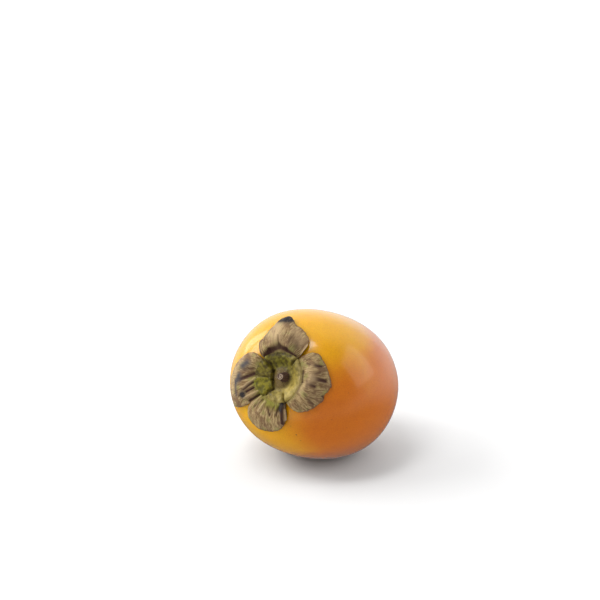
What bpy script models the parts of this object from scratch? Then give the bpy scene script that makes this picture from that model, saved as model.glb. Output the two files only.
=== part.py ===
"""A ripe persimmon lying on its side, with its dried four-lobed calyx turned towards -Y.

Units are metres and +Z is up. The origin is the centre of the small flat spot that the fruit
rests on. The fruit's own axis runs from the blossom end to the calyx, tipped up from the floor.
Shapes are worked out about that axis first, in fruit coordinates: x across, y up and back,
z out through the calyx.
"""
from dataclasses import dataclass
import math

import bpy
import numpy as np

# Fruit body
BODY_RADIUS = 0.0377  # mean of across, and up and down
CALYX_LENGTH = 0.0415  # from the widest section to the shoulder round the calyx
BLOSSOM_LENGTH = 0.0385  # from the widest section to the blossom end
SHOULDER_SQUARENESS = 2.4  # superellipse exponent of the calyx half
BLOSSOM_SQUARENESS = 2.2
HALF_BLEND = 0.25  # how gradually one half becomes the other, in cosines of the polar angle
SIDE_FLATTENING = 0.047  # share by which the section is wider across, and narrower up and down
SHOULDER_LOBING = 0.006  # four faint swellings, one between each pair of calyx lobes
HOLLOW_DEPTH = 0.006
HOLLOW_RADIUS = 0.012
DIMPLE_DEPTH = 0.0012
DIMPLE_RADIUS = 0.005

# How it lies
AXIS_TILT = math.radians(28)
FLAT_DEPTH = 0.002  # how much of the underside the resting spot has levelled
FLAT_SOFTNESS = 0.0025  # height over which the skin eases into the flat spot

# Calyx
SKIN_GAP = 0.00045  # air between the skin and whatever lies on it
PIECE_GAP = 0.0003
DISC_RADIUS = 0.012
DISC_RIM_LIFT = 0.003  # lifts are heights above the skin
DISC_RIM_WIDTH = 0.003
DISC_FLOOR_LIFT = 0.0012
BOSS_LIFT = 0.0036
BOSS_RADIUS = 0.0042
LOBE_THICKNESS = 0.0011
LOBE_MARGIN = 0.0006  # thickness left at the edge of a lobe
LOBE_FULLNESS = 2.6  # how squarely a lobe fills its sector
CORNER_LENGTH = 0.002  # length of a lobe along its sides

# Stalk stub and style remnant
STUB_HEIGHT = 0.0045
STUB_BASE_RADIUS = 0.0024
STUB_TOP_RADIUS = 0.0015
STUB_OFFSET = 0.0012
STYLE_HEIGHT = 0.0016
STYLE_RADIUS = 0.0011

# Fineness of the meshes
BODY_RINGS = 44
BODY_STEPS = 56
LOBE_STEPS_OUT = 11
LOBE_STEPS_ROUND = 16
DISC_STEPS = 36
DISC_RINGS = 8
STUB_STEPS = 20


@dataclass
class Lobe:
    """One calyx lobe: a fan that starts at the disc and lies back over the shoulder."""

    name: str
    bearing: float  # degrees round the axis, from x towards y
    half_span: float  # degrees
    reach: float  # from the axis to the edge, without the tip
    tip: float  # how far the pointed tip runs beyond that edge
    tip_bearing: float  # degrees from the lobe's own bearing
    arch: float  # how high the lobe stands off the skin near its root


LOBES = (
    Lobe("calyx_lobe_top", 101, 45, 0.0235, 0.0053, 3, 0.0034),
    Lobe("calyx_lobe_right", -4.5, 57.5, 0.0240, 0.0014, 5, 0.0026),
    Lobe("calyx_lobe_bottom", 263.5, 31.5, 0.0262, 0.0, 0, 0.0022),
    Lobe("calyx_lobe_left", 188.5, 39.5, 0.0265, 0.0036, 26, 0.0030),
)
TIP_WIDTH = 10.0  # degrees


def bell(distance, width):
    """1 at no distance, falling smoothly to 0 beyond the width."""
    return np.exp(-((distance / width) ** 2))


def skin(polar, bearing):
    """Points on the fruit's skin, as if it had never lain on anything."""
    cosine = np.cos(polar)
    calyx_share = 0.5 + 0.5 * np.tanh(cosine / HALF_BLEND)
    length = BLOSSOM_LENGTH + (CALYX_LENGTH - BLOSSOM_LENGTH) * calyx_share
    squareness = BLOSSOM_SQUARENESS + (SHOULDER_SQUARENESS - BLOSSOM_SQUARENESS) * calyx_share
    across = (np.sin(polar) / BODY_RADIUS) ** squareness
    along = (np.abs(cosine) / length) ** squareness
    reach = (across + along) ** (-1 / squareness)
    swell = SIDE_FLATTENING * np.cos(2 * bearing) - SHOULDER_LOBING * np.cos(4 * bearing)
    reach = reach * (1 + swell * np.sin(polar) ** 2)
    radius = reach * np.sin(polar)
    hollow = HOLLOW_DEPTH * bell(radius, HOLLOW_RADIUS) * (cosine > 0)
    dimple = DIMPLE_DEPTH * bell(radius, DIMPLE_RADIUS) * (cosine < 0)
    height = reach * cosine - hollow + dimple
    return np.stack([radius * np.cos(bearing), radius * np.sin(bearing), height], axis=-1)


def polar_at(radius):
    """The polar angle at which the calyx half of the skin is this far from the axis."""
    angles = np.linspace(0, math.pi / 2, 400)
    return np.interp(radius, skin(angles, math.pi / 4 + 0 * angles)[:, 0] * math.sqrt(2), angles)


def above_skin(radius, bearing, lift):
    """Points this far from the axis on the calyx end, raised from the skin along its normal."""
    step = 1e-3
    polar = np.maximum(polar_at(radius), 2 * step)
    outward = skin(polar + step, bearing) - skin(polar - step, bearing)
    sideways = skin(polar, bearing + step) - skin(polar, bearing - step)
    normal = np.cross(outward, sideways)
    normal /= np.linalg.norm(normal, axis=-1, keepdims=True)
    return skin(polar, bearing) + normal * np.asarray(lift)[..., None]


def to_floor(points):
    """Turns fruit coordinates so that the axis is tipped up and points towards -Y."""
    up_and_back = np.array([0, math.sin(AXIS_TILT), math.cos(AXIS_TILT)])
    axis = np.array([0, -math.cos(AXIS_TILT), math.sin(AXIS_TILT)])
    across = np.array([1.0, 0, 0])
    return points @ np.stack([across, up_and_back, axis])


def resting_shift():
    """Brings the lowest skin to FLAT_DEPTH under the floor, and the flat spot over the origin."""
    polar = np.linspace(math.pi / 2, math.pi, 2000)
    underside = to_floor(skin(polar, -math.pi / 2 + 0 * polar))
    lowest = underside[:, 2].min()
    pressed = underside[underside[:, 2] < lowest + FLAT_DEPTH]
    middle = (pressed[:, 1].min() + pressed[:, 1].max()) / 2
    return np.array([0, -middle, -lowest - FLAT_DEPTH])


SHIFT = resting_shift()


def place(points):
    """Fruit coordinates to the finished object's, with the underside settled on the floor."""
    placed = to_floor(points) + SHIFT
    height = placed[..., 2]
    eased = np.where(height > FLAT_SOFTNESS, height - FLAT_SOFTNESS / 2,
                     height ** 2 / (2 * FLAT_SOFTNESS))
    placed[..., 2] = np.where(height > 0, eased, 0)
    return placed


def add_object(name, points, faces, material):
    mesh = bpy.data.meshes.new(name)
    mesh.from_pydata([tuple(point) for point in place(points)], [], faces)
    mesh.validate()
    mesh.shade_smooth()
    mesh.set_sharp_from_angle(angle=math.radians(50))
    mesh.materials.append(material)
    obj = bpy.data.objects.new(name, mesh)
    bpy.context.scene.collection.objects.link(obj)
    return obj


def make_material(name, colour, roughness):
    material = bpy.data.materials.new(name)
    material.use_nodes = True
    shader = material.node_tree.nodes["Principled BSDF"]
    shader.inputs["Base Color"].default_value = (*colour, 1)
    shader.inputs["Roughness"].default_value = roughness
    shader.inputs["Metallic"].default_value = 0
    return material


def closed_rings(rings):
    """A closed mesh from rings of points, each run of rings ending in a fan to a pole."""
    count = len(rings[1])
    points = [rings[0][0]]
    for ring in rings[1:-1]:
        points.extend(ring)
    points.append(rings[-1][0])
    last = len(points) - 1
    faces = []
    for i in range(count):
        after = (i + 1) % count
        faces.append((0, 1 + i, 1 + after))
        for row in range(len(rings) - 3):
            near = 1 + row * count
            far = near + count
            faces.append((near + i, far + i, far + after, near + after))
        faces.append((last, last - count + after, last - count + i))
    return np.array(points), faces


def make_body(material):
    bearings = np.arange(BODY_STEPS) * 2 * math.pi / BODY_STEPS
    rings = [skin(polar, bearings) for polar in np.linspace(0, math.pi, BODY_RINGS)]
    add_object("fruit_body", *closed_rings(rings), material)


def disc_lift(radius):
    """Top of the calyx disc above the skin: a boss, a bowl round it and a raised rim."""
    boss = (BOSS_LIFT - DISC_FLOOR_LIFT) * bell(radius, BOSS_RADIUS)
    rim = (DISC_RIM_LIFT - DISC_FLOOR_LIFT) * bell(radius - DISC_RADIUS, 2 * DISC_RIM_WIDTH)
    return DISC_FLOOR_LIFT + boss + rim


def make_disc(material):
    bearings = np.arange(DISC_STEPS) * 2 * math.pi / DISC_STEPS
    rings = []
    for radius in np.linspace(0, DISC_RADIUS, DISC_RINGS):
        rings.append(above_skin(radius, bearings, disc_lift(radius)))
    for radius in np.linspace(DISC_RADIUS, 0, DISC_RINGS):
        rings.append(above_skin(radius, bearings, SKIN_GAP))
    add_object("calyx_disc", *closed_rings(rings), material)


def lobe_points(lobe, outward, around, side):
    """Points of one lobe's upper (side 1) or lower (side 0) face.

    outward runs from 0 at the root to 1 at the edge, around from -1 to 1 across the lobe.
    """
    root = DISC_RADIUS + PIECE_GAP
    corner = root + CORNER_LENGTH
    fill = (1 - np.abs(around) ** LOBE_FULLNESS) ** (1 / LOBE_FULLNESS)
    from_tip = around * lobe.half_span - lobe.tip_bearing
    edge = corner + (lobe.reach - corner) * fill + lobe.tip * bell(from_tip, TIP_WIDTH)
    radius = root + (edge - root) * outward
    bearing = np.radians(lobe.bearing + around * lobe.half_span)
    hump = np.sin(math.pi * np.clip(outward, 0, 1) ** 0.7) * (1 - around ** 2)
    thickness = LOBE_MARGIN + (LOBE_THICKNESS - LOBE_MARGIN) * (1 - outward ** 4)
    lift = SKIN_GAP + lobe.arch * hump + thickness * side
    return above_skin(radius, bearing, lift)


def make_lobe(lobe, material):
    columns = np.sin(np.linspace(-math.pi / 2, math.pi / 2, LOBE_STEPS_ROUND + 1))
    outward, around = np.meshgrid(np.linspace(0, 1, LOBE_STEPS_OUT + 1), columns, indexing="ij")
    under = lobe_points(lobe, outward, around, 0)
    upper = lobe_points(lobe, outward, around, 1)
    rows, columns = outward.shape
    points = np.concatenate([under.reshape(-1, 3), upper.reshape(-1, 3)])
    sheet = rows * columns
    faces = []
    for row in range(rows - 1):
        for column in range(columns - 1):
            a = row * columns + column
            b = a + columns
            faces.append((a, a + 1, b + 1, b))
            faces.append((sheet + a, sheet + b, sheet + b + 1, sheet + a + 1))
    border = [column for column in range(columns)]
    border += [row * columns + columns - 1 for row in range(1, rows)]
    border += [(rows - 1) * columns + column for column in range(columns - 2, -1, -1)]
    border += [row * columns for row in range(rows - 2, 0, -1)]
    for here, after in zip(border, border[1:] + border[:1]):
        faces.append((here, sheet + here, sheet + after, after))
    add_object(lobe.name, points, faces, material)


def round_peg(foot, height, base_radius, top_radius, steps, direction):
    """Rings of a short tapered peg that stands on foot, along the fruit's axis."""
    bearings = direction * np.arange(steps) * 2 * math.pi / steps
    circle = np.stack([np.cos(bearings), np.sin(bearings), 0 * bearings], axis=-1)
    along = np.array([0, 0, direction])
    rings = [foot + 0 * circle, foot + base_radius * circle]
    for share in np.linspace(0.25, 1, 4):
        radius = top_radius + (base_radius - top_radius) * (1 - share) ** 2
        rings.append(foot + radius * circle + share * height * along)
    rings.append(foot + 0 * circle + height * along)
    return rings[::-1]


def make_stub(material):
    boss_top = skin(np.array(0.0), np.array(0.0))[2] + BOSS_LIFT
    foot = np.array([STUB_OFFSET, 0, boss_top + PIECE_GAP])
    rings = round_peg(foot, STUB_HEIGHT, STUB_BASE_RADIUS, STUB_TOP_RADIUS, STUB_STEPS, 1)
    add_object("pedicel_stub", *closed_rings(rings), material)


def make_style(material):
    blossom_end = skin(np.array(math.pi), np.array(0.0))[2]
    foot = np.array([0, 0, blossom_end - PIECE_GAP])
    rings = round_peg(foot, STYLE_HEIGHT, STYLE_RADIUS, STYLE_RADIUS / 2, STUB_STEPS, -1)
    add_object("style_tip", *closed_rings(rings), material)


def main():
    for obj in list(bpy.data.objects):
        bpy.data.objects.remove(obj)
    skin_material = make_material("skin", (0.80, 0.33, 0.03), 0.3)
    lobe_material = make_material("dry_lobe", (0.30, 0.23, 0.12), 0.75)
    disc_material = make_material("green_disc", (0.20, 0.21, 0.03), 0.4)
    stalk_material = make_material("dark_stalk", (0.08, 0.045, 0.03), 0.8)
    make_body(skin_material)
    make_disc(disc_material)
    for lobe in LOBES:
        make_lobe(lobe, lobe_material)
    make_stub(stalk_material)
    make_style(stalk_material)


main()
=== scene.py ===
"""The persimmon's looks: fine meshes, materials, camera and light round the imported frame.

The fruit is shaped in fruit coordinates (x across, y up and back, z out through the calyx) and
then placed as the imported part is, in metres. Places on the calyx end are given as a bearing
round the axis in degrees and a distance from the axis in millimetres.
"""
from dataclasses import dataclass
import math

import bpy
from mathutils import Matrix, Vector
import numpy as np


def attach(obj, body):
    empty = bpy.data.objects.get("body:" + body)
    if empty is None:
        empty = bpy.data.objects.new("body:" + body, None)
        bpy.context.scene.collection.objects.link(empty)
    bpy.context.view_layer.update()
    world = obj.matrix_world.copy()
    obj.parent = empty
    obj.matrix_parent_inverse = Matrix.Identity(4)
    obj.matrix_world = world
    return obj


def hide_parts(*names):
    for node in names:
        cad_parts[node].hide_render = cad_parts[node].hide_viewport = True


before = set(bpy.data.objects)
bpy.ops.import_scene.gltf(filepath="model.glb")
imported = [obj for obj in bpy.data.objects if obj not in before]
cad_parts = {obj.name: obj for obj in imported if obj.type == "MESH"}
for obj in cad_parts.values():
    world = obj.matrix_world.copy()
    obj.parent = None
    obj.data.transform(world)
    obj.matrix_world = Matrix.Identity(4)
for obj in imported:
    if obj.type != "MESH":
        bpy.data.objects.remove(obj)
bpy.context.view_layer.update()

MM = 0.001

# Fruit body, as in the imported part
BODY_RADIUS = 0.0377  # mean of across, and up and down
CALYX_LENGTH = 0.0415  # from the widest section to the shoulder round the calyx
BLOSSOM_LENGTH = 0.0385  # from the widest section to the blossom end
SHOULDER_SQUARENESS = 2.4  # superellipse exponent of the calyx half
BLOSSOM_SQUARENESS = 2.2
HALF_BLEND = 0.25  # how gradually one half becomes the other, in cosines of the polar angle
SIDE_FLATTENING = 0.047  # share by which the section is wider across, and narrower up and down
SHOULDER_LOBING = 0.006  # four faint swellings, one between each pair of calyx lobes
HOLLOW_DEPTH = 0.006  # the hollow under the calyx
HOLLOW_RADIUS = 0.012
DIMPLE_DEPTH = 0.0012  # the dimple at the blossom end
DIMPLE_RADIUS = 0.005
AXIS_TILT = math.radians(28)
FLAT_DEPTH = 0.002  # how much of the underside the resting spot has levelled
FLAT_SOFTNESS = 0.0025  # height over which the skin eases into the flat spot

# The skin's broad, faint undulations, read from noise by the direction from the fruit's middle.
# Here and below, BUMPS says how many bumps a noise has and PLACE where on the noise it is read.
WAVE_HEIGHT = 0.00012
WAVE_BUMPS = 2.2  # to a unit of direction across the fruit's axis
WAVE_SLANT = 1.3  # to a unit along it
WAVE_PLACE = 4

# Green disc, in millimetres and degrees. A pair is where something starts and where it is full.
DISC_RADIUS = 12.4
DISC_UNDERSIDE = 0.45
BOWL_LIFT = 1.5
BOSS_LIFT = 3.7
BOSS_RADIUS = 4.4
BOSS_STRETCH = 1.8  # the boss reaches further towards BOSS_BEARING
BOSS_BEARING = 290
BOSS_SPREAD = 55
BOSS_SQUARENESS = 4
RIM_LIFT = 3.3
RIM_RISE = (5.5, 11)
RIM_DROP = 0.6
RIM_FALL = (11.6, 12.6)
PAD_LIFT = 3.4
PAD_RISE = (4.2, 6.2)
PAD_EDGE = (4.2, 5.2)
PAD_START = (146, 156)
PAD_END = (236, 248)
NOTCH_BEARINGS = (56, 147, 243, 297)
NOTCH_DEPTH = 0.8
NOTCH_WIDTH = 0.6
NOTCH_REACH = (6.5, 9)
LUMP_HEIGHT = 0.16
LUMP_SIZE = 2.2
LUMP_FADE = (0, 3)
LUMP_PLACE = 20

# Where the disc's colours lie
BOSS_TINT_END = (0.8, 1.25)  # as shares of the boss's reach
PAD_TINT_START = (188, 198)
PAD_TINT_END = (236, 246)
PAD_TINT_RISE = (5, 7)
SIDE_TINTS = {  # middle bearing and spread, and the distances between which the colour comes in
    "moss": (100, 60, 4, 6.5),
    # painted light: the pale yellow-green wall and the paler rim on the right side of the bowl, which
    # face the lamps
    "lit_wall": (325, 65, 4.5, 7),
    "rim": (0, 60, 9.8, 12.2),
}

# Dry lobes, in millimetres. Bumps are to a degree of bearing, and to the way from root to edge.
LOBE_ROOT = 11.2  # the lobes start under the rim of the disc
LOBE_CLEARANCE = 0.25
EDGE_THICKNESS = 0.5
ROOT_THICKNESS = 0.7  # more than at the edge
LEAST_THICKNESS = 0.3
RAGGEDNESS = 0.18
RAGGED_BUMPS = 0.35
FIBRE_DEPTH = 0.05
FIBRE_BUMPS = (0.62, 2.5)
FIBRE_PLACE = 3
RIPPLE_DEPTH = 0.16
RIPPLE_BUMPS = (0.14, 3.2)
GRAIN_BUMPS = (0.35, 22)
SURFACE_START = (0.05, 0.3)  # shares of the way out between which fibres and ripples come in
FIBRE_SEED = 5  # this and the next are added to a lobe's own seed
RIPPLE_SEED = 9
ROOT_ZONE = (11.8, 15.5)  # where the material is greener
OUTER_ZONE = (0.93, 1)  # where it is darker, partly its own brown margin and partly painted shade along the outline: shares of the way out, and of the way to a side
SIDE_ZONE = (0.985, 1)

# Stalk stub and style remnant, in millimetres
STUB_BEARING = 8
STUB_DISTANCE = 2.4
STUB_HEIGHT = 4.0
STUB_ROOTING = 0.6  # how far it starts under the top of the boss
STUB_BASE_RADIUS = 2.5
STUB_TOP_RADIUS = 1.55
STYLE_HEIGHT = 1.9
STYLE_BASE_RADIUS = 1.2
STYLE_TOP_RADIUS = 0.5
STYLE_ROOTING = 0.3

# Both pegs: rough sides, and a top that is hollowed and ringed with grooves
PEG_ROUGHNESS = 0.07  # share of the radius
PEG_BUMPS = 4
PEG_PLACE = 3
PEG_TOP_SPAN = (0.92, 0.06)  # shares of the top's radius, from its edge to its middle
PEG_GROOVES = 16  # radians of the grooves' wave from the middle to the edge
PEG_GROOVE_DEPTH = 0.06  # share of the height
PEG_HOLLOW = 1.5  # in groove depths
PEG_MIDDLE = 0.93  # height of the middle of the top, as a share of the height

# Fineness of the meshes
BODY_STEPS = 400
BODY_ROWS = 220
DISC_STEPS = 320
DISC_RINGS = 90
DISC_UNDER_RINGS = 12
LOBE_ROWS = 110
LOBE_COLUMNS = 180
STUB_STEPS = 72
STYLE_STEPS = 40
PEG_SIDE_RINGS = 24
PEG_TOP_RINGS = 16

# Skin: where it has turned orange, as a direction in fruit coordinates and the angles from it, in
# radians, at which the yellow ends and the orange is full
RIPE_SIDES = (
    ((0.78, -0.34, 0.52), 1.7, 0.4),
    ((0.66, -0.30, -0.69), 2.3, 1.35),
)
CLOUD_BUMPS = 1.7  # bumps of this and the noises below to a body radius
CLOUD_DEPTH = 0.4  # radians by which clouds shift the border of the orange
MOTTLE_BUMPS = 9.0
PORE_BUMPS = 75.0
PORE_RISE = (0.35, 0.6)
SPECK_CELLS = 8.5
SPECK_RISE = (0.07, 0.02)
SPECK_PICK = (0.86, 0.9)  # only cells with a random value above this have a speck
SPECK_STRENGTH = 0.6
MARK_CORE = 0.4  # share of a mark's radius that is fully dark
SKIN_MARKS = (  # bearing and polar angle in degrees, radius in mm, and strength
    (58.7, 34.0, 0.35, 0.35),
    (292.7, 33.3, 0.4, 0.4),
    (294.0, 40.6, 0.5, 0.9),
    (294.7, 46.3, 0.45, 0.5),
    # a scratch above the left lobe
    (163.3, 55.9, 0.7, 0.7),
    (163.0, 54.4, 0.5, 0.6),
    (161.6, 48.6, 0.6, 0.7),
    (161.9, 46.6, 0.45, 0.6),
    (159.6, 37.0, 0.5, 0.6),
)
SKIN_YELLOW = "E8AC00"
SKIN_AMBER = "E2A000"
SKIN_ORANGE = "CE6E00"
MOTTLE_SHADE = "F2F0E8"
PORE_SHADE = "F4EEE2"
SPECK_COLOUR = "5A3418"
MARK_COLOUR = "4A2A18"
WHITE = "FFFFFF"
THROWN_COLOUR = "8E8984"  # what the skin's colour turns towards in the light that it throws
THROWN_PALENESS = 0.8
SKIN_ROUGHNESS = (0.05, 0.21)  # how far a pattern adds to the roughness, and its least

# Dry lobe material
LOBE_BROWN = "6A4E30"
SWAY_BUMPS = 0.35
FIBRE_SWAY = 1.4
STREAK_STRETCH = (1.7, 0.16, 1.0)
FINE_STRETCH = (5.0, 0.4, 1.0)
PATCH_BUMPS = 0.22
PATCH_PLACE = (7.0, 3.0, 0.0)
LOBE_ROUGHNESS = (0.3, 0.5)
LOBE_FINE_RIDGES = 0.5  # height of the fine fibres as a share of the streaks'
LOBE_BUMP = 0.0003

# Green disc material
DISC_OLIVE = "4A3E12"
DISC_LUMP_BUMPS = 0.45
DISC_GRAIN_BUMPS = 2.2
DISC_ROUGHNESS = (0.35, 0.3)
DISC_LUMP_RIDGES = 1.5  # height of the lumps as a share of the grain's
DISC_BUMP = 0.00025

# Stalk material
BARK_STRETCH = (2.4, 2.4, 0.7)
BARK_RISE = (0.35, 0.65)
BARK_SHADES = ("33201C", "5E4238")
BARK_ROUGHNESS = (0.3, 0.45)
BARK_BUMP = 0.0002
SPIRAL_TURN = 11.0  # radians that the stub's pale spiral turns from its middle to its edge
SPIRAL_RISE = (-0.8, 0.6)
SPIRAL_SHADES = ("5C463A", "B6A086")
TOP_START = (0.84, 0.9)  # shares of the stub's height
TOP_EDGE = (1.05, 0.8)  # shares of its top's radius

# Room and floor
FLOOR_COLOUR = "F0F0F0"
FLOOR_HALF = 40.0
FLOOR_LEVEL = -0.0002
FAR_GLOW = 0.6
GLOW_REACH = (0.4, 2.0)  # metres from the fruit over which the glow rises
WALL_LIGHT = 1.1
DIM_LIGHT = 0.35
DIM_SIDE = (45, 30)  # bearing and elevation of the room's dim side
DIM_FADE = (0.1, 0.75)  # cosines of the angle from the dim side between which the light fades
BELOW_LIGHT = 0.22
BELOW_FADE = (-0.55, -0.1)  # cosines of the angle from straight up

# Camera, aimed beside and above the fruit's middle
CAMERA_BEARING = 28.8
CAMERA_ELEVATION = 23.4
CAMERA_DISTANCE = 1.0
AIM_RIGHT = -0.0076
AIM_UP = 0.0407
LENS_MM = 124.2
SENSOR_MM = 36


@dataclass
class Lobe:
    """One calyx lobe. edge is its outline and spine its height above the skin along the middle."""

    name: str
    edge: tuple  # (bearing in degrees, distance in mm), rising in bearing
    spine: tuple  # (share of the way from root to edge, lift in mm)
    margin_lift: float
    squareness: float  # how far the spine's height reaches towards the sides
    seed: int


@dataclass
class Stroke:
    """A ridge, a crease or a colour along a short line on the calyx end. The colour is a real stain on
    some strokes, and painted shade or painted highlight on others.
    """

    start: tuple  # (bearing, distance)
    end: tuple
    width: float
    height: float = 0.0
    stain_and_painted_light: float = 0.0
    layer: str = "dark"


@dataclass
class Tint:
    """A colour laid over a material, where a pattern rises from low to high and a mask shows."""

    colour: str
    strength: float = 1.0
    pattern: str = ""
    low: float = 0.0
    high: float = 1.0
    mask: str = ""


@dataclass
class Cover:
    """A patchy colour laid over a material where its mask shows: dark to light by a pattern."""

    mask: str
    pattern: str
    low: float
    high: float
    dark: str
    light: str


@dataclass
class Panel:
    """A soft light: where it stands as seen from the fruit, its size in metres and its watts."""

    name: str
    bearing: float
    elevation: float
    distance: float
    width: float
    height: float
    power: float


PANELS = (
    Panel("left_light", -99, 22, 1.3, 0.4, 0.7, 2.8),
    Panel("key_light", -66, 34, 1.4, 0.8, 0.8, 9),
    Panel("top_light", -30, 68, 1.4, 0.3, 0.7, 5.5),
    Panel("fill_light", 115, 27, 1.2, 1.0, 1.0, 3.6),
)

LOBES = (
    Lobe("calyx_lobe_top",
         ((56, 14.5), (58, 17.5), (63, 20.5), (72, 22.4), (84, 24.0), (92, 25.0), (97, 27.3), (104, 28.4),
          (111, 27.5), (115, 25.2), (120, 23.6), (124, 22.2), (131, 20.6), (138, 19.8), (143, 17.4),
          (146.5, 14.5)),
         ((0, 2.6), (0.10, 3.6), (0.24, 5.6), (0.5, 5.0), (0.8, 3.2), (1, 1.6)), 1.5, 4, seed=3),
    Lobe("calyx_lobe_right",
         ((-62, 13), (-57, 15.2), (-50, 18.2), (-38, 20.4), (-25, 21.8), (-14, 23.0), (-9, 22.7),
          (-4, 23.5), (1, 24.2), (9, 23.8), (20, 22.6), (33, 21.6), (43, 20.8), (49, 18.6), (54, 14.5)),
         ((0, 2.8), (0.2, 3.4), (0.4, 4.2), (0.6, 3.8), (0.85, 2.0), (1, 0.9)), 1.2, 3, seed=11),
    Lobe("calyx_lobe_bottom",
         ((229, 18.0), (231, 21.5), (235, 24.8), (243, 26.8), (252, 27.4), (262, 26.5), (273, 25.3),
          (281, 23.6), (289, 21.0), (294, 17.8), (296.5, 14.0)),
         ((0, 2.8), (0.3, 3.0), (0.6, 2.6), (0.85, 1.7), (1, 0.9)), 1.1, 4, seed=23),
    Lobe("calyx_lobe_left",
         ((149.5, 13.5), (152, 17.0), (157, 19.8), (164, 22.0), (174, 24.6), (185, 26.9), (196, 28.4),
          (207, 29.5), (213, 30.0), (217, 29.8), (221, 27.6), (226, 23.5), (231, 18.0)),
         ((0, 3.2), (0.15, 3.5), (0.35, 4.2), (0.6, 3.9), (0.85, 2.2), (1, 1.0)), 1.2, 3, seed=37),
)

STROKES = (
    # top lobe: the ridge that parts its two faces, the slit at its fold, its raised tip, and the foot of
    # the fold.
    # The dark on the ridge, in the slit and creases, on its right face and at the foot is painted shade;
    # its pale patches are partly paler tissue and partly painted highlight.
    Stroke((90, 25), (81, 14.6), 0.8, 0.5, 0.35),
    Stroke((103, 17.6), (100, 14.4), 0.45, -0.7, 0.9),
    Stroke((104, 27.0), (104, 27.6), 1.9, 0.8),
    Stroke((142, 12.6), (122, 13.2), 0.9, -0.5, 1.3),
    Stroke((122, 13.2), (101, 14.0), 0.8, -0.6, 1.5),
    Stroke((101, 14.0), (84, 13.2), 0.8, -0.6, 1.5),
    Stroke((84, 13.2), (62, 12.8), 0.8, -0.4, 1.1),
    Stroke((76, 20.0), (68, 15.5), 1.2, -0.3, 0.35),
    Stroke((139, 18.4), (143, 14.5), 0.5, -0.3, 0.7),
    Stroke((132, 19.0), (136, 15.0), 0.35, -0.25, 0.6),
    Stroke((125, 20.5), (129, 16.0), 0.35, -0.25, 0.5),
    Stroke((133, 16.8), (140, 15.2), 2.0, 0.8),
    Stroke((110, 25), (106, 18), 3.0, 0.2, 0.7, "pale"),
    Stroke((84, 21), (70, 19), 2.4, 0.0, 0.4, "pale"),
    Stroke((60, 19.6), (56.5, 15.0), 0.5, 0.4, 0.9, "pale"),
    Stroke((80, 17.5), (68, 16.5), 2.2, -0.7, 0.45),
    # right lobe: a cross ridge painted pale as highlight, and creases painted dark as shade
    Stroke((27, 17.2), (9, 17.2), 1.4, 0.7, 0.25, "pale"),
    Stroke((9, 17.2), (-18, 13.8), 1.5, 0.6, 0.35, "pale"),
    Stroke((27, 18.4), (25, 20.2), 0.8, -0.6, 1.1),
    Stroke((9, 17.4), (7, 21.6), 0.75, -0.7, 1.3),
    Stroke((-1, 16.2), (-2, 18.2), 0.6, -0.5, 1.0),
    Stroke((15, 18.0), (17, 19.6), 0.45, -0.4, 0.6),
    Stroke((35, 15.5), (30, 16.5), 0.5, -0.4, 0.7),
    Stroke((-11, 22.0), (-12, 23.0), 0.5, -0.4, 0.9),
    Stroke((-18, 16.0), (-25, 20.5), 0.5, -0.4, 0.5),
    Stroke((-38, 14.5), (-41, 18.5), 0.5, -0.4, 0.4),
    Stroke((4, 15.2), (-8, 16.0), 0.5, -0.4, 0.6),
    Stroke((18, 14.6), (26, 15.4), 0.5, 0.4, 0.5, "pale"),
    Stroke((24, 13.2), (0, 13.0), 0.4, -0.4, 0.8),
    Stroke((0, 13.0), (-22, 12.8), 0.4, -0.3, 0.5),
    Stroke((44, 14.5), (40, 17.0), 0.4, -0.4, 0.6),
    Stroke((14, 19.5), (-12, 18.5), 3.2, 0.0, 0.28),
    # bottom lobe: its side that has rolled over, painted dark, and the folds at its root, with painted
    # shade in their creases and painted highlight on a ridge
    Stroke((287, 20.6), (292, 15.0), 1.2, 2.0, 1.0),
    Stroke((291.5, 19.8), (295, 15.5), 0.35, 0.0, 0.7, "pale"),
    Stroke((279, 17.4), (284, 14.4), 0.5, -0.5, 0.8),
    Stroke((246, 13.5), (240, 18), 0.5, -0.4, 0.6),
    Stroke((252, 13.5), (249, 18), 0.5, 0.35, 0.6, "pale"),
    Stroke((262, 15.0), (268, 18), 0.4, -0.35, 0.6),
    Stroke((275, 14.0), (268, 18), 0.4, -0.3, 0.5),
    # left lobe: folds that run out from the green pad, with painted shade in their creases and painted
    # highlight on their ridges, and a broad paler patch
    Stroke((196, 12.4), (208, 18), 0.5, 0.6, 0.6, "pale"),
    Stroke((186, 12.8), (196, 18.5), 0.9, -0.6, 1.2),
    Stroke((203, 13.6), (210, 18.0), 0.7, -0.7, 1.2),
    Stroke((224, 12.6), (221, 19.5), 0.45, 0.6, 0.7, "pale"),
    Stroke((214, 14.0), (215, 17.2), 0.7, -0.6, 1.1),
    Stroke((231, 13.2), (227, 19.0), 0.6, -0.5, 1.0),
    Stroke((237, 13.0), (234, 18.0), 0.4, 0.4, 0.6, "pale"),
    Stroke((176, 13.5), (182, 17.0), 0.7, -0.3, 0.6),
    Stroke((172, 21), (205, 25.5), 2.6, 0.0, 0.35, "pale"),
)

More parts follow.
